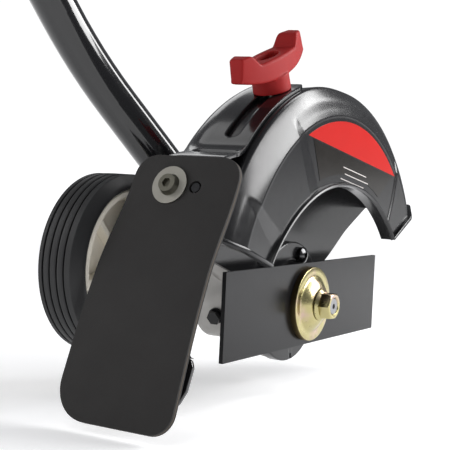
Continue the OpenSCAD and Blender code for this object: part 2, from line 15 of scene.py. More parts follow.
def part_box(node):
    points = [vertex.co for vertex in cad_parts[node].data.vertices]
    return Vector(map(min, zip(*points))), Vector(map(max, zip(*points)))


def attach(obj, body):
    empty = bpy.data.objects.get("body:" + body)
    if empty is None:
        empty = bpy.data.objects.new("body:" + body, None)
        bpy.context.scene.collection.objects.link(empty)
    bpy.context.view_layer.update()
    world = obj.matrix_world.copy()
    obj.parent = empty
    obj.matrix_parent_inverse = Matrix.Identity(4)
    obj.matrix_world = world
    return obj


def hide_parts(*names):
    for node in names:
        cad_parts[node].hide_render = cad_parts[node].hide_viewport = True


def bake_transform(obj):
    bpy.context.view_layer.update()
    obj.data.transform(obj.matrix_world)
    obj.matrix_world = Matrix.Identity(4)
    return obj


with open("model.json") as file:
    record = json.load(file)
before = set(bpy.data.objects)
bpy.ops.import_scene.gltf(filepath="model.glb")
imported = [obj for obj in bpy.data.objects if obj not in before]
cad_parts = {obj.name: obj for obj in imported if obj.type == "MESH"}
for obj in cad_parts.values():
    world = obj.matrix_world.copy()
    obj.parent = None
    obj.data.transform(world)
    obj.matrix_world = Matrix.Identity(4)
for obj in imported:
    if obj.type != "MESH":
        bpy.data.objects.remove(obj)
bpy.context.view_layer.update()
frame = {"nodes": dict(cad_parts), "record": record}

blade_lo, blade_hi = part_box("blade")
ARBOR = Vector((blade_hi.x, (blade_lo.y + blade_hi.y) / 2, (blade_lo.z + blade_hi.z) / 2))
UP = Vector((0, 0, 1))


def to_world(p):
    """World place in metres of a point in mm in the arbor's frame."""
    return ARBOR + Vector(p) / 1000


# ---------- camera ----------

LENS = 90.97
SENSOR_WIDTH = 36
CAMERA_AT = (323.075, -627.506, 87.361)
AZIMUTH, ELEVATION, ROLL = 31.6, 3.328, 2.605


def look(azimuth, elevation, roll):
    """Axes of a camera that stands in the given direction, all angles in degrees."""
    a, e, r = (math.radians(v) for v in (azimuth, elevation, roll))
    back = Vector((math.sin(a) * math.cos(e), -math.cos(a) * math.cos(e), math.sin(e)))
    right = UP.cross(back).normalized()
    up = back.cross(right)
    right, up = (math.cos(r) * right + math.sin(r) * up, -math.sin(r) * right + math.cos(r) * up)
    return Matrix((right, up, back)).transposed()


camera = bpy.data.objects.new("camera", bpy.data.cameras.new("camera"))
bpy.context.scene.collection.objects.link(camera)
camera.data.lens = LENS
camera.data.sensor_width = SENSOR_WIDTH
camera.data.clip_start = 0.05
camera.data.clip_end = 100
turned_camera = look(AZIMUTH, ELEVATION, ROLL).to_4x4()
camera.matrix_world = Matrix.Translation(to_world(CAMERA_AT)) @ turned_camera
bpy.context.scene.camera = camera
bpy.context.scene.view_settings.view_transform = "Standard"


# ---------- studio ----------

FLOOR_Z = -52.0
FLOOR_RADIUS = 14.0
FLOOR_SIDES = 64
# distance from the object in metres and strength of the floor's own light there
GLOW_NEAR = (0.25, 0.37)
GLOW_FAR = (2.2, 1.05)
SEEN_STRENGTH = 1.05
AROUND_STRENGTH = 0.18


def area_light(name, place, aim, size, power):
    """Rectangular light at a place in mm, aimed at another, with its size in metres."""
    data = bpy.data.lights.new(name, "AREA")
    data.shape = "RECTANGLE"
    data.size, data.size_y = size
    data.energy = power
    lamp = bpy.data.objects.new(name, data)
    bpy.context.scene.collection.objects.link(lamp)
    lamp.location = to_world(place)
    lamp.rotation_mode = "QUATERNION"
    lamp.rotation_quaternion = (to_world(aim) - to_world(place)).to_track_quat("-Z", "Y")


def backdrop():
    """White where the camera sees it, dim and slightly blue where it lights the object."""
    world = bpy.data.worlds.new("studio")
    bpy.context.scene.world = world
    world.use_nodes = True
    tree = world.node_tree
    tree.nodes.clear()
    out = tree.nodes.new("ShaderNodeOutputWorld")
    seen = tree.nodes.new("ShaderNodeBackground")
    seen.inputs["Color"].default_value = (1, 1, 1, 1)
    seen.inputs["Strength"].default_value = SEEN_STRENGTH
    around = tree.nodes.new("ShaderNodeBackground")
    around.inputs["Color"].default_value = (0.93, 0.95, 1, 1)
    around.inputs["Strength"].default_value = AROUND_STRENGTH
    path = tree.nodes.new("ShaderNodeLightPath")
    mix = tree.nodes.new("ShaderNodeMixShader")
    tree.links.new(path.outputs["Is Camera Ray"], mix.inputs[0])
    tree.links.new(around.outputs[0], mix.inputs[1])
    tree.links.new(seen.outputs[0], mix.inputs[2])
    tree.links.new(mix.outputs[0], out.inputs[0])


def lights():
    """Dark gloss is drawn by what it reflects, so each light stands where one surface mirrors it."""
    # the large panel gives the guard's shoulder its silver, the strip gives the tube its line
    area_light("right_panel", (800, 560, 500), (20, -80, 95), (0.74, 0.46), 12)
    area_light("tube_strip", (360, 610, 700), (-90, -62, 112), (0.19, 0.7), 4.2)
    # three weak boxes shine on the bracket's ledge, its band and its tail
    area_light("ledge_box", (-680, 20, 980), (-21, -98, 97), (0.3, 0.4), 0.42)
    area_light("rear_box", (-700, 640, 620), (-21, -65, 121), (0.4, 0.36), 0.55)
    area_light("tail_box", (60, -640, 860), (-16, -106, 92), (0.5, 0.4), 1.0)
    # two more lift the wheel from the left and the flap from the camera's side
    area_light("left_box", (-1000, -600, 420), (-60, -60, 40), (0.35, 1.0), 3.4)
    area_light("front_box", (-250, -1200, 700), (-20, -120, 20), (0.9, 0.6), 2.2)


def floor():
    """Round white floor that fades into the backdrop by its own light and still takes the shadow."""
    centre = to_world((0, 0, FLOOR_Z))
    points = []
    for i in range(FLOOR_SIDES):
        a = 2 * math.pi * i / FLOOR_SIDES
        x = centre.x + FLOOR_RADIUS * math.cos(a)
        y = centre.y + FLOOR_RADIUS * math.sin(a)
        points.append((x, y, centre.z))
    mesh = bpy.data.meshes.new("floor")
    mesh.from_pydata(points, [], [list(range(FLOOR_SIDES))])
    thing = bpy.data.objects.new("floor", mesh)
    bpy.context.scene.collection.objects.link(thing)
    look_of_floor = bpy.data.materials.new("floor")
    look_of_floor.use_nodes = True
    tree = look_of_floor.node_tree
    shader = tree.nodes["Principled BSDF"]
    shader.inputs["Base Color"].default_value = (0.86, 0.86, 0.87, 1)
    shader.inputs["Roughness"].default_value = 0.8
    shader.inputs["Specular IOR Level"].default_value = 0.2
    shader.inputs["Emission Color"].default_value = (1, 1, 1, 1)
    place = tree.nodes.new("ShaderNodeTexCoord")
    away = tree.nodes.new("ShaderNodeVectorMath")
    away.operation = "DISTANCE"
    away.inputs[1].default_value = tuple(centre)
    tree.links.new(place.outputs["Object"], away.inputs[0])
    glow = tree.nodes.new("ShaderNodeMapRange")
    glow.interpolation_type = "SMOOTHSTEP"
    glow.inputs["From Min"].default_value = GLOW_NEAR[0]
    glow.inputs["From Max"].default_value = GLOW_FAR[0]
    glow.inputs["To Min"].default_value = GLOW_NEAR[1]
    glow.inputs["To Max"].default_value = GLOW_FAR[1]
    tree.links.new(away.outputs["Value"], glow.inputs["Value"])
    tree.links.new(glow.outputs["Result"], shader.inputs["Emission Strength"])
    mesh.materials.append(look_of_floor)


backdrop()
lights()
floor()


# ---------- mesh tools ----------

def add_object(name, mesh, *materials):
    """Object in the scene from a mesh and its materials."""
    thing = bpy.data.objects.new(name, mesh)
    bpy.context.scene.collection.objects.link(thing)
    for m in materials:
        mesh.materials.append(m)
    return thing


def smooth(mesh, angle=35):
    """Smooth shading with sharp edges above an angle in degrees."""
    mesh.shade_smooth()
    mesh.set_sharp_from_angle(angle=math.radians(angle))


def edit(mesh, change):
    """Runs a change on a mesh's editable copy."""
    bm = bmesh.new()
    bm.from_mesh(mesh)
    change(bm)
    bm.to_mesh(mesh)
    bm.free()


def face_outward(bm):
    """Makes all faces of a closed shape point out."""
    bmesh.ops.recalc_face_normals(bm, faces=bm.faces)


def grid_faces(rows, columns, rows_close=False, columns_close=False):
    """Faces of a grid of points, wrapped around where its rows or columns close."""
    faces = []
    for i in range(rows if rows_close else rows - 1):
        j = (i + 1) % rows
        for k in range(columns if columns_close else columns - 1):
            m = (k + 1) % columns
            faces.append((i * columns + k, i * columns + m, j * columns + m, j * columns + k))
    return faces


def mesh_from(name, points, faces, angle=35):
    """Closed mesh from points in mm in the arbor's frame."""
    mesh = bpy.data.meshes.new(name)
    mesh.from_pydata([to_world(p) for p in points], [], faces)
    mesh.validate()
    edit(mesh, face_outward)
    smooth(mesh, angle)
    return mesh


def join(name, things, angle=35):
    """One object from several, with the first one's materials."""
    bm = bmesh.new()
    for t in things:
        bm.from_mesh(t.data)
    mesh = bpy.data.meshes.new(name)
    bm.to_mesh(mesh)
    bm.free()
    smooth(mesh, angle)
    whole = add_object(name, mesh, *things[0].data.materials)
    for t in things:
        data = t.data
        bpy.data.objects.remove(t)
        bpy.data.meshes.remove(data)
    return whole


def modifier(thing, kind, **values):
    """Adds a modifier and sets its values."""
    mod = thing.modifiers.new(kind.lower(), kind)
    for k, v in values.items():
        setattr(mod, k, v)


def apply_modifiers(thing, angle=35):
    """Puts the modifiers' result into the object's own mesh."""
    deps = bpy.context.evaluated_depsgraph_get()
    mesh = bpy.data.meshes.new_from_object(thing.evaluated_get(deps))
    thing.modifiers.clear()
    old = thing.data
    thing.data = mesh
    bpy.data.meshes.remove(old)
    smooth(mesh, angle)
    return thing


def bevel(thing, width, segments=2, angle=30):
    """Rounds the edges sharper than an angle by a width in mm."""
    modifier(thing, "BEVEL", width=width / 1000, segments=segments, limit_method="ANGLE",
             angle_limit=math.radians(angle), harden_normals=True, use_clamp_overlap=True)


def thicken(thing, thickness):
    """Gives a sheet a thickness in mm on its inner side."""
    modifier(thing, "SOLIDIFY", thickness=thickness / 1000, offset=-1.0, use_even_offset=True,
             use_quality_normals=True)


def combine(thing, tool, operation, angle=35):
    """Boolean of a piece with a tool, which is removed afterwards."""
    modifier(thing, "BOOLEAN", object=tool, operation=operation, solver="EXACT")
    apply_modifiers(thing, angle)
    bpy.data.objects.remove(tool)


def frame_at(origin, x, y, z):
    """Function that takes a local point in mm to the arbor's frame."""
    o, x, y, z = (Vector(v) for v in (origin, x, y, z))
    return lambda p: o + x * p[0] + y * p[1] + z * p[2]


def turned(place, degrees):
    """A frame turned about its own local z."""
    c, s = math.cos(math.radians(degrees)), math.sin(math.radians(degrees))
    return lambda p: place((p[0] * c - p[1] * s, p[0] * s + p[1] * c, p[2]))


def polar(r, degrees, x):
    """Point in mm at a radius and angle about the arbor."""
    a = math.radians(degrees)
    return (x, r * math.cos(a), r * math.sin(a))


def lathe(name, profile, place, count=128, angle=35):
    """Turned shape from a closed profile of (radius, height) points about a frame's local z."""
    points = []
    for i in range(count):
        a = 2 * math.pi * i / count
        points += [place((r * math.cos(a), r * math.sin(a), h)) for r, h in profile]
    mesh = mesh_from(name, points, grid_faces(count, len(profile), True, True), angle)

    def weld(bm):
        """Joins the points that meet on the axis."""
        bmesh.ops.remove_doubles(bm, verts=bm.verts, dist=1e-6)
        face_outward(bm)

    edit(mesh, weld)
    smooth(mesh, angle)
    return mesh


def prism(name, outline, place, low, high, angle=35):
    """Straight extrusion of an outline in a frame's local x and y."""
    n = len(outline)
    points = [place((x, y, low)) for x, y in outline] + [place((x, y, high)) for x, y in outline]
    faces = [tuple(range(n))[::-1], tuple(range(n, 2 * n))]
    faces += grid_faces(2, n, columns_close=True)
    return mesh_from(name, points, faces, angle)


def drill(thing, place, radius, low, high, count, angle=35):
    """Bores a round hole along a frame's local z."""
    mesh = lathe("drill", [(0, low), (radius, low), (radius, high), (0, high)], place, count)
    combine(thing, add_object("drill", mesh, thing.data.materials[0]), "DIFFERENCE", angle)


def rounded_outline(corners, radii, steps=8):
    """Outline with each corner replaced by an arc, of one radius or of one radius each."""
    out, n = [], len(corners)
    for i in range(n):
        p, a, b = Vector(corners[i]), Vector(corners[i - 1]), Vector(corners[(i + 1) % n])
        u, v = (a - p).normalized(), (b - p).normalized()
        half = math.acos(max(-1, min(1, u.dot(v)))) / 2
        r = radii[i] if isinstance(radii, list) else radii
        reach = r / math.tan(half)
        start, end = p + u * reach, p + v * reach
        centre = p + (u + v).normalized() * (r / math.sin(half))
        a0 = math.atan2(*(start - centre).yx)
        turn = (math.atan2(*(end - centre).yx) - a0 + math.pi) % (2 * math.pi) - math.pi
        for k in range(steps + 1):
            t = a0 + turn * k / steps
            out.append((centre.x + r * math.cos(t), centre.y + r * math.sin(t)))
    return out


def ramp(value, low, high):
    """Straight rise from 0 to 1 between two values."""
    return min(1, max(0, (value - low) / (high - low)))


def step(value, low, high):
    """Soft rise from 0 to 1 between two values."""
    t = ramp(value, low, high)
    return t * t * (3 - 2 * t)


# ---------- local frames ----------

# the slot, its bolt and the knob share this plane
SLOT_X = -3.3
KNOB_ANGLE = math.radians(112)
KNOB_SEAT = 138.5
FLAP_TILT = math.radians(22)

on_arbor = frame_at((0, 0, 0), (0, 1, 0), (0, 0, 1), (1, 0, 0))
on_axle = frame_at((0, -115, 26), (0, 1, 0), (0, 0, 1), (1, 0, 0))
knob_up = Vector((0, math.cos(KNOB_ANGLE), math.sin(KNOB_ANGLE)))
knob_ahead = Vector((0, math.sin(KNOB_ANGLE), -math.cos(KNOB_ANGLE)))
flap_up = Vector((0, math.sin(FLAP_TILT), math.cos(FLAP_TILT)))
flap_out = Vector((0, -math.cos(FLAP_TILT), math.sin(FLAP_TILT)))
on_flap = frame_at((0, -130, 86), (1, 0, 0), flap_up, flap_out)


# ---------- materials ----------

def material(name, colour, rough, metal=0.0, specular=0.5, vary=0.1, rough_vary=0.05, spread=60.0,
             bump=0.02, grain=900.0, coat=0.0, coat_rough=0.06, second=None, second_scale=25.0):
    """Principled material whose colour and roughness wander and whose surface has a fine grain."""
    m = bpy.data.materials.new(name)
    m.use_nodes = True
    tree = m.node_tree
    shader = tree.nodes["Principled BSDF"]
    coords = tree.nodes.new("ShaderNodeTexCoord")

    def noise(scale, detail=3.0, rough_noise=0.55):
        """Noise fixed to the object's own coordinates."""
        n = tree.nodes.new("ShaderNodeTexNoise")
        n.inputs["Scale"].default_value = scale
        n.inputs["Detail"].default_value = detail
        n.inputs["Roughness"].default_value = rough_noise
        tree.links.new(coords.outputs["Object"], n.inputs["Vector"])
        return n

    broad = noise(spread)
    mix = tree.nodes.new("ShaderNodeMix")
    mix.data_type = "RGBA"
    mix.inputs["A"].default_value = (*[c * (1 - vary) for c in colour], 1)
    mix.inputs["B"].default_value = (*[min(1, c * (1 + vary)) for c in colour], 1)
    tree.links.new(broad.outputs["Fac"], mix.inputs["Factor"])
    last = mix.outputs["Result"]
    if second:
        # patches of a second colour
        patch = noise(second_scale, 5.0, 0.6)
        edge = tree.nodes.new("ShaderNodeMapRange")
        edge.inputs["From Min"].default_value = 0.48
        edge.inputs["From Max"].default_value = 0.72
        tree.links.new(patch.outputs["Fac"], edge.inputs["Value"])
        over = tree.nodes.new("ShaderNodeMix")
        over.data_type = "RGBA"
        over.inputs["B"].default_value = (*second, 1)
        tree.links.new(edge.outputs["Result"], over.inputs["Factor"])
        tree.links.new(last, over.inputs["A"])
        last = over.outputs["Result"]
    tree.links.new(last, shader.inputs["Base Color"])
    spread_rough = tree.nodes.new("ShaderNodeMapRange")
    spread_rough.inputs["To Min"].default_value = max(0.02, rough - rough_vary)
    spread_rough.inputs["To Max"].default_value = min(1.0, rough + rough_vary)
    fine = noise(spread * 3.1, 4.0)
    tree.links.new(fine.outputs["Fac"], spread_rough.inputs["Value"])
    tree.links.new(spread_rough.outputs["Result"], shader.inputs["Roughness"])
    grainy = noise(grain, 3.0, 0.6)
    bumps = tree.nodes.new("ShaderNodeBump")
    bumps.inputs["Strength"].default_value = bump
    bumps.inputs["Distance"].default_value = 0.0004
    tree.links.new(grainy.outputs["Fac"], bumps.inputs["Height"])
    tree.links.new(bumps.outputs["Normal"], shader.inputs["Normal"])
    shader.inputs["Metallic"].default_value = metal
    shader.inputs["Specular IOR Level"].default_value = specular
    shader.inputs["Coat Weight"].default_value = coat
    shader.inputs["Coat Roughness"].default_value = coat_rough
    return m


LOOKS = {
    "tube": material("tube_paint", (0.006, 0.006, 0.007), 0.14,
                     coat=0.6, coat_rough=0.05, bump=0.002, grain=300),
    "bracket": material("bracket_paint", (0.008, 0.008, 0.009), 0.2,
                        coat=0.4, coat_rough=0.08, bump=0.012, grain=420),
    "blade": material("blade_paint", (0.007, 0.007, 0.008), 0.24,
                      specular=0.22, bump=0.03, grain=700, vary=0.2),
    "guard": material("guard_plastic", (0.009, 0.009, 0.01), 0.21,
                      specular=0.42, bump=0.005, grain=800, vary=0.15),
    "label": material("label_film", (0.46, 0.009, 0.006), 0.3,
                      specular=0.14, coat=0.04, bump=0.01, grain=400, vary=0.06),
    "knob": material("knob_plastic", (0.29, 0.006, 0.006), 0.58,
                     specular=0.22, bump=0.05, grain=1100, vary=0.08),
    "flap": material("flap_rubber", (0.0205, 0.019, 0.0185), 0.72,
                     specular=0.35, bump=0.25, grain=900, vary=0.25, spread=30),
    "ply": material("flap_ply", (0.07, 0.052, 0.034), 0.8, bump=0.5, grain=1500, vary=0.4, spread=300),
    "tyre": material("tyre_rubber", (0.012, 0.012, 0.013), 0.5,
                     specular=0.45, bump=0.12, grain=700, vary=0.2),
    "hub": material("hub_plastic", (0.88, 0.83, 0.72), 0.42, bump=0.03, grain=500, vary=0.06),
    "zinc_yellow": material("zinc_yellow", (0.46, 0.41, 0.2), 0.26, metal=1.0, vary=0.15, bump=0.06,
                            grain=600, second=(0.56, 0.4, 0.36), second_scale=70, spread=120),
    "zinc": material("zinc_dull", (0.29, 0.28, 0.25), 0.42, metal=1.0, vary=0.15, bump=0.08, grain=900),
    "steel": material("bare_steel", (0.3, 0.3, 0.31), 0.34, metal=1.0, vary=0.1, bump=0.05, grain=900),
    "cast": material("cast_aluminium", (0.4, 0.39, 0.375), 0.5,
                     metal=0.9, vary=0.2, bump=0.5, grain=450, rough_vary=0.12),
    "bronze": material("bronze", (0.5, 0.33, 0.14), 0.4, metal=1.0, bump=0.05),
    "rubber": material("black_rubber", (0.012, 0.012, 0.012), 0.6, bump=0.1),
    "nylon": material("liner_nylon", (0.7, 0.68, 0.6), 0.4, bump=0.02),
    # painted shade and painted dark reflection on the retainer's edge, not a colour of its own
    "rim_painted_shade": material("retainer_edge_painted_shade", (0.2, 0.15, 0.07), 0.45,
                         metal=1.0, vary=0.3, bump=0.1, grain=900),
    "film": material("label_film_dark", (0.013, 0.011, 0.009), 0.16,
                     specular=0.24, coat=0.06, bump=0.01, grain=300, vary=0.2),
    "stripe": material("label_stripe", (0.55, 0.52, 0.5), 0.4, bump=0.01, vary=0.05),
    "screw_zinc": material("screw_zinc", (0.14, 0.135, 0.11), 0.34,
                           metal=1.0, vary=0.3, bump=0.1, grain=700),
    # glossy black of the guard's screws, also put on the flap's stud as painted shade in its hole
    "screw": material("black_screw_and_stud_shade", (0.02, 0.02, 0.022), 0.2,
                      metal=0.6, specular=0.8, bump=0.03, coat=0.6),
}

SLOT_LOOKS = {
    "tube_paint": "tube", "bracket_paint": "bracket", "blade_steel": "blade", "guard_plastic": "guard",
    "knob_plastic": "knob", "flap_rubber": "flap", "tyre_rubber": "tyre", "hub_plastic": "hub",
    "zinc_yellow": "zinc_yellow", "zinc_dull": "zinc", "bare_steel": "steel", "cast_aluminium": "cast",
    "bronze": "bronze", "black_rubber": "rubber", "liner_nylon": "nylon", "label_film": "label",
}
# small parts that look different from the rest of their slot
NODE_LOOKS = {
    # the stud takes the black screw look so that its hole in the flap reads dark: painted shade
    "guard_screws": "screw", "flap_stud": "screw", "flap_screw": "screw_zinc", "knob_washer": "screw",
}

for part in frame["record"]["subparts"]:
    node = frame["nodes"][part["node"]]
    node.data.materials.clear()
    node.data.materials.append(LOOKS[SLOT_LOOKS[part["material_slot"]]])
for name, key in NODE_LOOKS.items():
    frame["nodes"][name].data.materials[0] = LOOKS[key]


# ---------- guard ----------

OPENING_RADIUS = 105.4
OPENING_DROP = 31.8
FACE_X = 20
BACK_X = -20
SHOULDER_R = 116
PANEL_STEP = 0.9
GUARD_WALL = 2.4
GUARD_FROM, GUARD_SPAN, GUARD_CUTS = 26, 135, 300
FACE_CUTS = 29
SHOULDER_CUTS = 18
BACK_CUTS = 15
# column of the guard's cross-section that lies on the rim
RIM_COLUMN = 62
FLANGE_DEGREES = 1.25
FLANGE_REAR, FLANGE_NOSE = 161.3, 25.7
NOTCH_ANGLE = -84


def arch_reach(degrees):
    """Distance from the arbor to the arched opening's edge, whose centre lies below the arbor."""
    a = math.radians(degrees)
    return -OPENING_DROP * math.sin(a) + math.sqrt(OPENING_RADIUS ** 2 - (OPENING_DROP * math.cos(a)) ** 2)


def panel_depth(degrees, r):
    """How far the flat face and shoulder are set back beside the raised middle panel, from 0 to 1."""
    s = (SHOULDER_R - r) / 30
    middle_to_label = 1 - ramp(degrees, 116.2 - 2.5 * s, 120.3 + 1.2 * s)
    rear = ramp(degrees, 147.3 + 0.3 * s, 150.3 + 4.8 * s)
    nose = 1 - step(degrees, 45.1 - 10.2 * s - 0.5, 45.1 - 10.2 * s + 0.5)
    return max(0, middle_to_label - nose) + rear


def drawn_in(r, degrees, x):
    """The rim stands closer to the arbor ahead of the knob, most of all at its back edge."""
    share = max(0, min(1, (r - SHOULDER_R) / 18))
    ahead = 3.3 * (1 - step(degrees, 84, 108))
    back = 4.2 * step(degrees, 60, 84) * (1 - step(degrees, 96, 118)) * ramp(-x, -12, 16) * 0.5
    return r - share * (ahead + back)


def lean(r, degrees, x):
    """Degrees by which the back panel's front edge curves forward as it nears the arbor."""
    if x > -19.5:
        return 0
    return 5.2 * step(-r, -100, -42) * (1 - step(degrees, 26, 70))


def guard_section(degrees):
    """Cross-section (radius, x) from the opening's lip over face, shoulder and rim to the back panel."""
    lip = arch_reach(degrees)
    line = [(lip, 12.4), (lip, 14.5), (lip, 17), (lip, 19.4), (lip + 0.15, 20.9), (lip + 0.6, 21.8),
            (lip + 1.2, 22.1), (lip + 1.9, 21.8), (lip + 2.3, 21.1), (lip + 2.5, 20.4)]
    line.append((lip + 2.8, FACE_X - PANEL_STEP * panel_depth(degrees, lip + 3)))
    for k in range(1, FACE_CUTS + 1):
        r = lip + 2.8 + (SHOULDER_R - lip - 2.8) * k / FACE_CUTS
        line.append((r, FACE_X - PANEL_STEP * panel_depth(degrees, r)))
    for k in range(SHOULDER_CUTS + 1):
        s = k / SHOULDER_CUTS
        r = 116.6 + 17.9 * s
        depth = panel_depth(degrees, r) * (1 - step(r, 121, 129.5)) * PANEL_STEP
        line.append((r, 20.1 - 6.9 * s + 3.4 * s * (1 - s) - depth))
    line += [(135.0, 12.6), (135.3, 11.9), (135.4, 11.0), (135.4, 8), (135.4, 2), (135.4, -4), (135.4, -10),
             (135.4, -16), (135.4, -18.4), (135.2, -19.2), (134.7, -19.7), (134, BACK_X)]
    for k in range(1, BACK_CUTS + 1):
        line.append((134 - (134 - 34) * k / BACK_CUTS, BACK_X))
    return line


def guard_shell():
    """Sheet swept through the guard's angles and thickened inwards."""
    sections = []
    for i in range(GUARD_CUTS + 1):
        t = GUARD_FROM + GUARD_SPAN * i / GUARD_CUTS
        line = [(drawn_in(r, t, x), x) for r, x in guard_section(t)]
        sections.append([polar(r, t - lean(r, t, x), x) for r, x in line])
    n = len(sections[0])
    mesh = bpy.data.meshes.new("guard_shell")
    points = [to_world(p) for section in sections for p in section]
    mesh.from_pydata(points, [], grid_faces(len(sections), n))

    def face_out(bm):
        """Turns the open sheet's faces away from the arbor, so that it is thickened inwards."""
        face_outward(bm)
        bm.faces.ensure_lookup_table()
        face = bm.faces[(len(sections) // 2) * (n - 1) + RIM_COLUMN]
        centre = face.calc_center_median() - ARBOR
        if face.normal.dot(Vector((0, centre.y, centre.z))) < 0:
            bmesh.ops.reverse_faces(bm, faces=bm.faces)

    edit(mesh, face_out)
    thing = add_object("guard_shell", mesh, LOOKS["guard"])
    thicken(thing, GUARD_WALL)
    return apply_modifiers(thing, 24)


def end_flange(at, side):
    """Frame around an end of the moulding, standing out from its face, shoulder and rim."""
    lip = arch_reach(at)
    outer = [(lip + 0.2, 22.4), (117.6, 22.4), (122, 21.6), (137.4, 15.2), (138.5, 14.0), (138.8, 12.6),
             (138.8, -18.6), (138.2, -19.4), (134.2, -19.4), (134.2, 11.6), (116, 18.8), (lip + 0.2, 18.8)]
    outer = [(drawn_in(r, at, x), x) for r, x in outer]
    n = len(outer)
    points = [polar(r, at, x) for r, x in outer]
    points += [polar(r, at + side * FLANGE_DEGREES, x) for r, x in outer]
    faces = [tuple(range(n)), tuple(range(2 * n - 1, n - 1, -1))]
    faces += [(i, n + i, n + (i + 1) % n, (i + 1) % n) for i in range(n)]
    thing = add_object("guard_flange", mesh_from("guard_flange", points, faces, 30), LOOKS["guard"])
    bevel(thing, 0.7, 3)
    return apply_modifiers(thing, 40)


def guard():
    """Moulded guard: shell, two end flanges, hub disc with a notch below, and boss of the knob bolt."""
    parts = [guard_shell(), end_flange(FLANGE_NOSE, 1), end_flange(FLANGE_REAR, -1)]
    hub_profile = [(15.8, -20), (37.0, -20), (37.5, -19.4), (37.5, -13.4), (37.2, -12.8), (36.6, -12.6),
                   (27, -12.6), (26.4, -13.0), (26, -13.6), (26, -17.2), (25.6, -17.6), (15.8, -17.6)]
    parts.append(add_object("guard_hub", lathe("guard_hub", hub_profile, on_arbor, 144), LOOKS["guard"]))
    boss_place = frame_at((SLOT_X, 0, 0), (1, 0, 0), knob_ahead, knob_up)
    boss_profile = [(4.1, 121), (9, 121), (9, 134.2), (8.6, 134.7), (4.1, 134.7)]
    boss = lathe("guard_boss", boss_profile, boss_place, 48)
    parts.append(add_object("guard_boss", boss, LOOKS["guard"]))
    whole = join("guard_moulding", parts, 26)
    notch_outline = [(33.5, -1), (42, -1), (42, 1), (33.5, 1)]
    notch = prism("notch", notch_outline, turned(on_arbor, NOTCH_ANGLE), -15.5, -10)
    combine(whole, add_object("notch", notch), "DIFFERENCE", 26)
    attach(whole, "frame")
    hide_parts("guard")


guard()


# ---------- flap ----------

FLAP_CORNERS = [(-38, 2.2), (26.4, 2.2), (24.2, -144), (-48, -144)]
FLAP_RADII = [12.5, 12, 12, 19]
# levels through the sheet and the material of the wall above each: rubber, woven ply, rubber
FLAP_LEVELS = [-3.6, -2.2, -1.5, 0]
FLAP_WALLS = [0, 1, 0]
# screw hole and stud hole as (across, up, radius)
FLAP_HOLES = [(-14, -15, 3.05), (1.3, -15, 3.5)]


def bow(v):
    """How far the hanging rubber curves out to the rear at a height along the flap."""
    return 5.4 * step(-v, 12, 66) - 3.4 * step(-v, 78, 150)


def flap():
    """One rubber sheet in place of the CAD's head and skirt, bowed along its height."""
    outline = rounded_outline(FLAP_CORNERS, FLAP_RADII, 12)
    bm = bmesh.new()
    rings = []
    for h in FLAP_LEVELS:
        rings.append([bm.verts.new(to_world(on_flap((x, y, h)))) for x, y in outline])
    n = len(outline)
    for k, look_number in enumerate(FLAP_WALLS):
        low, high = rings[k], rings[k + 1]
        for i in range(n):
            j = (i + 1) % n
            bm.faces.new((low[i], low[j], high[j], high[i])).material_index = look_number
    bm.faces.new(rings[0][::-1])
    bm.faces.new(rings[-1])
    face_outward(bm)
    rims = [e for e in bm.edges if any(all(v in ring for v in e.verts) for ring in (rings[0], rings[-1]))]
    bmesh.ops.bevel(bm, geom=rims, offset=0.00045, segments=3, profile=0.6, affect="EDGES", material=0)
    # crosswise cuts, close together at the bend, let the sheet curve smoothly
    cuts = [-4, -12, -16, -20, -23, -26, -29]
    cuts += [-30 - k * 0.5 for k in range(17)]
    cuts += [-41.5 - k * 3.5 for k in range(28)]
    for v in cuts:
        bmesh.ops.bisect_plane(bm, geom=bm.verts[:] + bm.edges[:] + bm.faces[:],
                               plane_co=to_world(on_flap((0, v, 0))), plane_no=flap_up, dist=1e-7)
    for v in bm.verts:
        local = v.co - to_world(on_flap((0, 0, 0)))
        v.co += flap_out * bow(local.dot(flap_up) * 1000) / 1000
    # the cuts leave the faces in another order each run, so they are put in a fixed one
    bm.verts.index_update()
    for i, f in enumerate(sorted(bm.faces, key=lambda f: sorted(v.index for v in f.verts))):
        f.index = i
    bm.faces.sort()
    mesh = bpy.data.meshes.new("flap_sheet")
    bm.to_mesh(mesh)
    bm.free()
    smooth(mesh, 30)
    thing = add_object("flap_sheet", mesh, LOOKS["flap"], LOOKS["ply"])
    for u, v, r in FLAP_HOLES:
        drill(thing, frame_at(on_flap((u, v, 0)), (1, 0, 0), flap_up, flap_out), r, -6, 2, 32, 30)
    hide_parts("flap_head", "flap_skirt")
    bend_from = tuple(to_world(on_flap((0, -31, 0))))
    bend_to = tuple(to_world(on_flap((0, -37, 0))))
    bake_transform(thing)


flap()


# ---------- wheel bracket ----------

BAND_R = 138
BAND_FROM = 105.6
BAND_EDGE_X = 10
BAND_CORNER = 4.2
# mm along the band per degree
BAND_DEGREE = 2.409
SLOT_FROM, SLOT_TO = 112, 132.1
SLOT_HALF = 4.3
# angle taken up by each rounded end of the slot
SLOT_END = 1.786
# column of the sheet's cross-section that the slot leaves open
SLOT_COLUMN = 7
LEDGE_ROWS = 12
SKIRT_COLUMNS = 12
BRACKET_WALL = 2.2


def curve(a, b, c, count):
    """Points of a quadratic curve from a to c, without its start."""
    a, b, c = Vector(a), Vector(b), Vector(c)
    shares = [i / count for i in range(1, count + 1)]
    return [a * (1 - t) ** 2 + b * 2 * t * (1 - t) + c * t * t for t in shares]


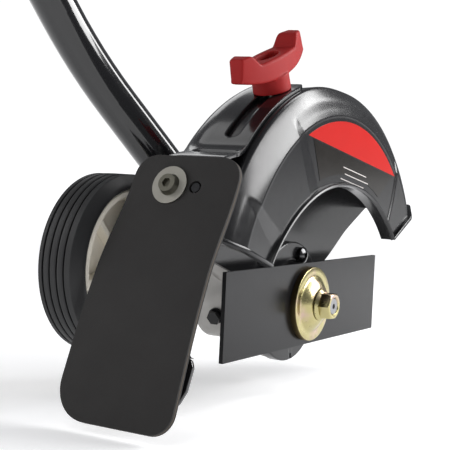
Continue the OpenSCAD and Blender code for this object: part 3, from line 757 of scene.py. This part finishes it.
def bracket_path():
    """Band, flare, sloping ledge and top of the tail as (forward, up) points of the outer surface."""
    angles = [BAND_FROM, 105.9, 106.4, 107, 107.8, 108.8, 110, 111]
    angles += [SLOT_FROM - SLOT_END * k for k in (1, 0.94, 0.82, 0.66, 0.46, 0.24)] + [SLOT_FROM]
    angles += [SLOT_FROM + 20.1 * k / 24 for k in range(1, 25)]
    angles += [SLOT_TO + SLOT_END * k for k in (0.24, 0.46, 0.66, 0.82, 0.94, 1)] + [134.4, 135]
    angles = sorted(angles)
    path = []
    for a in angles:
        path.append(Vector((BAND_R * math.cos(math.radians(a)), BAND_R * math.sin(math.radians(a)))))
    path += curve(path[-1], (-102.7, 92.5), (-108.0, 91.3), LEDGE_ROWS)
    path += [Vector((-108 - 11.4 * k / 14, 91.3 - 2.15 * k / 14)) for k in range(1, 15)]
    path += curve(path[-1], (-125.2, 88.1), (-127.1, 83.4), 7)
    return angles, path


def slot_half(degrees):
    """Half width of the slot, which narrows to nothing around its two rounded ends."""
    if SLOT_FROM <= degrees <= SLOT_TO:
        over = 0
    else:
        over = min(abs(degrees - SLOT_FROM), abs(degrees - SLOT_TO)) / SLOT_END
    return SLOT_HALF * math.sqrt(max(0, 1 - over * over)) if over < 1 else 0


def band_columns(half, corner):
    """Places across the band, from its rounded edge past the slot to the shoulder."""
    low, high = SLOT_X - half, SLOT_X + half
    columns = [10, 9.5, 8.4, 7] + [7 + (k / 4) * (high - 7) for k in (1, 2, 3)] + [high, low]
    columns += [low + (k / 5) * (-14.2 - low) for k in (1, 2, 3, 4)] + [-14.2, -16, -18]
    if corner == 0:
        return columns
    return [min(x, BAND_EDGE_X - corner) - (0.02 * k if k <= 3 else 0) for k, x in enumerate(columns)]


def corner_cut(degrees):
    """How far the band's front corner is rounded away."""
    reach = (degrees - BAND_FROM) * BAND_DEGREE
    if reach >= BAND_CORNER:
        return 0
    return BAND_CORNER - math.sqrt(max(0, BAND_CORNER ** 2 - (BAND_CORNER - reach) ** 2))


def bracket_sheet():
    """Pressed sheet: slotted band, ledge with an oval recess, and a rounded shoulder down to a skirt."""
    angles, path = bracket_path()
    bands = len(angles)
    points, open_rows = [], []
    for i, p in enumerate(path):
        ahead = (path[min(i + 1, len(path) - 1)] - path[max(i - 1, 0)]).normalized()
        normal = Vector((-ahead.y, ahead.x))
        if normal.dot(p) < 0:
            normal = -normal
        half, corner = 0, 0
        if i < bands:
            half, corner = slot_half(angles[i]), corner_cut(angles[i])
        columns = band_columns(half, corner)
        for x in columns:
            sink = 0.0
            if i >= bands:
                far = math.hypot(max(0, abs(x + 5.0) - 11.0) / 3.6, (p.x + 108.6) / 3.6)
                sink = 1.1 * (1 - step(far, 0.5, 1.0))
            q = p - normal * sink
            points.append((x, q.x, q.y))
        # the shoulder is a quarter ellipse, flatter along the ledge and narrower at the tail
        past = i - bands + 1
        flat = step(past, -1, LEDGE_ROWS + 2)
        fall = 22 - 17 * flat
        reach = 22 - 7 * flat - 10 * step(past, LEDGE_ROWS + 12, len(path) - bands)
        for k in range(1, SKIRT_COLUMNS + 1):
            a = math.radians(90 * k / SKIRT_COLUMNS)
            q = p - normal * fall * (1 - math.cos(a))
            points.append((-18 - reach * math.sin(a), q.x, q.y))
        open_rows.append(half > 0.01)
    n = len(columns) + SKIRT_COLUMNS
    faces = []
    for number, face in enumerate(grid_faces(len(path), n)):
        i, k = divmod(number, n - 1)
        if k != SLOT_COLUMN or not (open_rows[i] or open_rows[i + 1]):
            faces.append(face)
    mesh = bpy.data.meshes.new("bracket_sheet")
    mesh.from_pydata([to_world(p) for p in points], [], faces)

    def weld(bm):
        """Closes the slot's ends, where its two edges meet, and turns the sheet's faces up."""
        bmesh.ops.remove_doubles(bm, verts=bm.verts, dist=2e-5)
        bmesh.ops.dissolve_degenerate(bm, edges=bm.edges, dist=1e-6)
        face_outward(bm)
        top = max(bm.faces, key=lambda f: f.calc_center_median().z)
        if top.normal.z < 0:
            bmesh.ops.reverse_faces(bm, faces=bm.faces)

    edit(mesh, weld)
    thing = add_object("bracket_sheet", mesh, LOOKS["bracket"])
    thicken(thing, BRACKET_WALL)
    apply_modifiers(thing, 40)
    bevel(thing, 0.55, 3, 50)
    return apply_modifiers(thing, 45)


def plate(name, corners, radii, place, low, high, holes):
    """Flat piece with rounded corners, drilled with (x, y, radius) holes and with softened edges."""
    outline = rounded_outline(corners, radii)
    thing = add_object(name, prism(name, outline, place, low, high), LOOKS["bracket"])
    for x, y, r in holes:
        centre = place((x, y, 0))
        axis_x = place((x + 1, y, 0)) - centre
        axis_y = place((x, y + 1, 0)) - centre
        axis_z = place((x, y, 1)) - centre
        drill(thing, frame_at(centre, axis_x, axis_y, axis_z), r, low - 1, high + 1, 48)
    bevel(thing, 0.5, 3, 40)
    return apply_modifiers(thing, 40)


def wheel_bracket():
    """Sheet, tail plate with its ear behind the flap, side plate and the lap around the axle bolt."""
    tail_corners = [(-21, 2.6), (9, 2.6), (20, -20), (20, -103), (22.4, -102.6), (24.8, -107), (24.4, -119),
                    (21.4, -127), (-20, -127), (-21, -100)]
    tail_radii = [2, 3, 8, 3, 3, 3, 3, 3, 6, 3]
    tail_holes = [(-14, -15, 3.05), (1.3, -15, 2.55)]
    tail = plate("bracket_tail", tail_corners, tail_radii, on_flap, -5.8, -3.62, tail_holes)
    side_corners = [(-78, 88), (-92, 84), (-106, 81), (-113, 76), (-127, 34), (-130, 16), (-124, 8),
                    (-106, 6), (-97, 18), (-93, 44), (-76, 66)]
    side_radii = [4, 8, 8, 6, 12, 8, 6, 8, 10, 20, 6]
    side = plate("bracket_side", side_corners, side_radii, on_arbor, -40, -37.8, [(-114, 24, 4.05)])
    lap_profile = [(4.05, -41), (12, -41), (12, -39.9), (4.05, -39.9)]
    lap = add_object("bracket_lap", lathe("bracket_lap", lap_profile, on_axle, 64), LOOKS["bracket"])
    whole = join("bracket_sheetwork", [bracket_sheet(), tail, side, lap], 40)
    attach(whole, "bracket")
    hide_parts("wheel_bracket")


wheel_bracket()


# ---------- knob ----------

KNOB_HALF = 33.8
KNOB_TURN = math.radians(86.5)
KNOB_CUTS = 90
# height of the bar's middle and rise of its wings
SADDLE_HEIGHT = 20.4
WING_RISE = 6.7
LEAST_HEIGHT = 1.2
ROUND_STEPS = 8


def bar_top(u):
    """Height of the bar's upper side, with raised wings that fall off at their tips."""
    tip = 13.7 * ramp(abs(u), 30.8, KNOB_HALF)
    return SADDLE_HEIGHT + WING_RISE * step(abs(u), 17, 24.5) - tip


def bar_under(u):
    """Height of the bar's lower side."""
    return 8.2 + 5.7 * (abs(u) / KNOB_HALF) ** 2.5


def bar_half(u):
    """Half width of the bar."""
    return 3.6 + 6.2 * max(0, 1 - (u / KNOB_HALF) ** 2)


def bar_ring(u):
    """Cross-section of the bar with four rounded corners."""
    low, wide = bar_under(u), bar_half(u)
    high = max(bar_top(u), low + LEAST_HEIGHT)
    ring = []
    for cx, cz, a0 in ((1, 1, 0), (-1, 1, 90), (-1, -1, 180), (1, -1, 270)):
        r = min(1.7 if cz > 0 else 1.3, (high - low) / 2.1)
        level = high - r if cz > 0 else low + r
        for k in range(ROUND_STEPS + 1):
            a = math.radians(a0 + 90 * k / ROUND_STEPS)
            ring.append((u, cx * (wide - r) + r * math.cos(a), level + r * math.sin(a)))
    return ring


def knob():
    """Winged bar with a dished saddle, grown together with its stem and softened as one moulding."""
    along = Vector((1, 0, 0)) * math.cos(KNOB_TURN) + knob_ahead * math.sin(KNOB_TURN)
    across = -Vector((1, 0, 0)) * math.sin(KNOB_TURN) + knob_ahead * math.cos(KNOB_TURN)
    place = frame_at(Vector((SLOT_X, 0, 0)) + knob_up * KNOB_SEAT, along, across, knob_up)
    rings = [bar_ring(-KNOB_HALF + 2 * KNOB_HALF * i / KNOB_CUTS) for i in range(KNOB_CUTS + 1)]
    n = len(rings[0])
    points = [place(p) for ring in rings for p in ring]
    faces = [tuple(range(n)), tuple(range(len(points) - 1, len(points) - n - 1, -1))]
    faces += grid_faces(len(rings), n, columns_close=True)
    bar = add_object("knob_bar", mesh_from("knob_bar", points, faces), LOOKS["knob"])
    dish_profile = [(0, -6.4), (0.8, -6.2), (0.95, -4.0), (1, 0), (1, 8), (0, 8)]
    dish_place = frame_at(place((0, 0, SADDLE_HEIGHT)), along * 9.8, across * 5.2, knob_up)
    dish = add_object("knob_dish", lathe("knob_dish", dish_profile, dish_place, 48), LOOKS["knob"])
    combine(bar, dish, "DIFFERENCE")
    stem_profile = [(0, 6), (0, 9.6), (10.9, 9.6), (11.0, 6), (11.2, -0.1), (11.1, -0.3), (6.02, -0.3),
                    (6.02, 6)]
    stem = add_object("knob_stem", lathe("knob_stem", stem_profile, place, 96), LOOKS["knob"])
    combine(bar, stem, "UNION")
    modifier(bar, "REMESH", mode="VOXEL", voxel_size=0.0004)
    modifier(bar, "SMOOTH", factor=0.5, iterations=6)
    apply_modifiers(bar, 180)
    modifier(bar, "DECIMATE", ratio=0.25)
    apply_modifiers(bar, 60)
    bar.name = "knob_body"
    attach(bar, "knob")
    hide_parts("knob")


knob()


# ---------- wheel ----------

WHEEL_IN = -50.0
WHEEL_OUT = -79.0
WHEEL_MID = (WHEEL_IN + WHEEL_OUT) / 2
TREAD_R = 50.45
GROOVES = [-9.8, -14.6, -19.4, -24.2]
GROOVE_HALF = 0.5
HUB_WEBS = 6
# the far wall is squashed to this share of the near wall's width
FAR_WALL = 0.4


def tyre_wall(side):
    """Profile of a side wall from the bead out to the tread; side is 1 for the near wall."""
    base = WHEEL_IN if side > 0 else WHEEL_OUT
    shape = [(42.55, 2.2), (42.7, 1.2), (43.2, 0.4), (44.0, 0.05), (44.9, 0.3), (46.2, 1.2), (47.6, 2.4),
             (48.9, 3.7), (49.5, 4.35), (49.9, 4.7), (50.2, 5.1)]
    if side < 0:
        shape = [(r, d * FAR_WALL) for r, d in shape]
    return [(r, base - side * d) for r, d in shape]


def tread(x):
    """Radius of the slightly crowned tread."""
    return TREAD_R - 0.25 * abs((x - WHEEL_MID) / 10) ** 2.4


def tyre():
    """Five flat ribs of tread beside a sloping wall on either side."""
    profile = tyre_wall(1)
    profile += [(50.42, WHEEL_IN - d) for d in (5.4, 6.6, 7.8, 8.8)]
    ends = [WHEEL_IN + g for g in GROOVES] + [WHEEL_OUT + 2.2]
    for centre, following in zip(ends, ends[1:]):
        crown = tread(centre)
        profile += [(crown - 0.25, centre + GROOVE_HALF), (crown - 1.5, centre + 0.34)]
        profile += [(crown - 1.6, centre)]
        profile += [(crown - 1.5, centre - 0.34), (crown - 0.25, centre - GROOVE_HALF)]
        for s in (0.14, 0.26, 0.42, 0.58, 0.74, 0.86):
            x = centre - GROOVE_HALF + (following + GROOVE_HALF - centre + GROOVE_HALF) * s
            profile.append((tread(x) - 0.1 * abs(s - 0.5) ** 2, x))
    profile += tyre_wall(-1)[::-1]
    thing = add_object("tyre_ribbed", lathe("tyre_ribbed", profile, on_axle, 192, 24), LOOKS["tyre"])
    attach(thing, "wheel")
    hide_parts("tyre")


def hub():
    """Moulded hub: ring, set-back disc with shallow bowls, six webs and a stepped centre."""
    profile = [(6.02, -78.8), (10.6, -78.8), (11.0, -78.4), (12, -66.4), (13, -66), (36.2, -66),
               (37.2, -66.8), (38.2, -77), (38.8, -77.8), (41.4, -77.8), (42.3, -77), (42.48, -75.8),
               (42.48, -53.2), (42.3, -52), (41.6, -51.3), (40.6, -51.2), (39.2, -51.2), (38.6, -51.6),
               (37.4, -61.6), (36.2, -62.8), (34, -63), (24, -62.4), (16, -62.6), (13, -63), (12, -62.4),
               (11.2, -51), (10.7, -50.25), (6.02, -50.25)]
    parts = [add_object("hub_disc", lathe("hub_disc", profile, on_axle, 144, 28), LOOKS["hub"])]
    web_outline = [(9, 1.25), (37.9, 1.6), (37.9, -1.6), (9, -1.25)]
    for i in range(HUB_WEBS):
        place = turned(on_axle, i * 60 + 15)
        for low, high in ((-73, -65.5), (-63.2, -56)):
            web = add_object("hub_web", prism("hub_web", web_outline, place, low, high), LOOKS["hub"])
            bevel(web, 0.4, 2)
            parts.append(apply_modifiers(web, 30))
    whole = join("hub_moulding", parts, 28)
    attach(whole, "wheel")
    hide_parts("wheel_hub")


tyre()
hub()


# ---------- retainer and nut ----------

RETAINER_TEETH = 288
TOOTH_DEPTH = 0.24
NUT_CORNER_R = 8.66


def retainer():
    """Dished washer with a flat rim, its edge finely ribbed and painted darker as shade and a dark
    reflection.
    """
    face = [(4.9, 9.0), (9.4, 9.0), (10.6, 8.72), (12.2, 7.9), (13.6, 7.0), (15, 5.9), (16.2, 4.85),
            (16.9, 4.25), (17.4, 3.98), (17.9, 3.88), (19.5, 3.88), (22.3, 3.88), (22.7, 3.7)]
    rim = [(22.88, 3.4), (22.88, 0.15)]
    back = [(22.7, 0.0), (20.9, 0.0), (20.9, 2.2), (18.2, 2.2), (15.4, 4.2), (9, 7.2), (9, 2), (4.9, 2)]
    points = []
    for i in range(RETAINER_TEETH):
        a = 2 * math.pi * i / RETAINER_TEETH
        dip = TOOTH_DEPTH if i % 2 else 0.0
        for r, h in face + [(r - dip, h) for r, h in rim] + back:
            points.append(on_arbor((r * math.cos(a), r * math.sin(a), h)))
    faces = grid_faces(RETAINER_TEETH, len(face + rim + back), True, True)
    mesh = mesh_from("retainer_dish", points, faces, 30)
    thing = add_object("retainer_dish", mesh, LOOKS["zinc_yellow"], LOOKS["rim_painted_shade"])
    # faces on the rim's outer side take the darker material, a painted shade
    for f in mesh.polygons:
        out = Vector(f.center) - ARBOR
        if math.hypot(out.y, out.z) > 0.0225 and abs(f.normal.x) < 0.5:
            f.material_index = 1
    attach(thing, "arbor")
    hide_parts("retainer_washer")


def nut():
    """Flange nut: turned skirt, chamfered hexagon and a bored face."""
    look_of_nut = LOOKS["zinc_yellow"]
    skirt_profile = [(4.85, 9.05), (9.6, 9.05), (9.95, 9.4), (9.9, 9.9), (8.9, 10.9), (8.1, 11.6),
                     (4.85, 11.6)]
    skirt = add_object("nut_skirt", lathe("nut_skirt", skirt_profile, on_arbor, 96), look_of_nut)
    six = []
    for i in range(6):
        a = math.radians(60 * i)
        six.append((NUT_CORNER_R * math.cos(a), NUT_CORNER_R * math.sin(a)))
    outline = rounded_outline(six, 0.5, 4)
    body = add_object("nut_body", prism("nut_body", outline, on_arbor, 10, 18.5), look_of_nut)
    cone_profile = [(0, 8), (11, 8), (11, 15.9), (7.2, 18.5), (0, 18.5)]
    cone = add_object("nut_cone", lathe("nut_cone", cone_profile, on_arbor, 96), look_of_nut)
    combine(body, cone, "INTERSECT")
    bore_profile = [(0, 5), (4.85, 5), (4.85, 17.7), (5.7, 18.7), (0, 18.7)]
    bore = add_object("nut_bore", lathe("nut_bore", bore_profile, on_arbor, 64), look_of_nut)
    combine(body, bore, "DIFFERENCE")
    bevel(body, 0.18, 2, 25)
    apply_modifiers(body, 30)
    whole = join("nut_flanged", [skirt, body], 30)
    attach(whole, "arbor")
    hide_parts("flange_nut")


retainer()
nut()


# ---------- label ----------

LABEL_SLOPE = math.radians(-10.1)
LABEL_R = 113.2
# distances from the arbor to the red segment's straight edge and to the dark film's
RED_EDGE, DARK_EDGE = 93.4, 92.6
FILM_BACK = 19.12
RED_FRONT = 19.36
DARK_R = 112.4
DARK_FRONT = 19.3
STRIPE_BACK = 19.2
STRIPE_HALF = 0.28
# thin stripes as (distance from the arbor, start, stop)
STRIPES = [(84.5, -14, 20), (80.8, -11, 24), (77.1, -16, 18)]


def film(name, outline, key, low, high):
    """Flat piece of the label on the guard's face."""
    return add_object(name, prism(name, outline, on_arbor, low, high, 30), LOOKS[key])


def label():
    """Plain film: a red segment above and a dark glossy field below with a few thin stripes."""
    cut = Vector((-math.sin(LABEL_SLOPE), math.cos(LABEL_SLOPE)))
    base = math.atan2(cut.y, cut.x)
    spread = math.acos(RED_EDGE / LABEL_R)
    red = []
    for i in range(73):
        a = base + spread * (1 - 2 * i / 72)
        red.append((LABEL_R * math.cos(a), LABEL_R * math.sin(a)))
    parts = [film("label_red", red, "label", FILM_BACK, RED_FRONT)]
    # the dark film follows the arch below and the red segment above
    dark = []
    for i in range(41):
        a = 51 + 60 * i / 40
        r = arch_reach(a) + 7.5
        dark.append((r * math.cos(math.radians(a)), r * math.sin(math.radians(a))))
    for i in range(41):
        a = math.radians(111.5 - 65 * i / 40)
        r = min(DARK_EDGE / max(0.2, math.cos(a - base)), DARK_R)
        dark.append((r * math.cos(a), r * math.sin(a)))
    parts.append(film("label_dark", dark, "film", FILM_BACK, DARK_FRONT))
    for off, start, stop in STRIPES:
        outline = []
        for along, side in ((start, 1), (stop, 1), (stop, -1), (start, -1)):
            x = off * cut.x + along * cut.y + side * cut.x * STRIPE_HALF
            y = off * cut.y - along * cut.x + side * cut.y * STRIPE_HALF
            outline.append((x, y))
        parts.append(film("label_line", outline, "stripe", STRIPE_BACK, RED_FRONT))
    for t in parts:
        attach(t, "frame")
    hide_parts("guard_label")


label()


# ---------- softened edges of the CAD pieces that stay ----------

EDGE_WIDTHS = {
    "blade": 0.35, "arbor_shaft": 0.4, "inner_flange": 0.4, "gear_case": 0.8, "flap_washer": 0.2,
    "flap_screw": 0.35, "guard_screws": 0.3, "axle_bolt": 0.4, "axle_washers": 0.2, "axle_nut": 0.3,
    "grease_plug": 0.4, "clamp_screw": 0.3, "case_cap": 0.6, "axle_spacer": 0.3, "oil_seal": 0.3,
    "flap_stud": 0.4, "release_button": 0.3, "shaft_tube": 0.3,
}
for name, width in EDGE_WIDTHS.items():
    bevel(frame["nodes"][name], width, 2, 32)
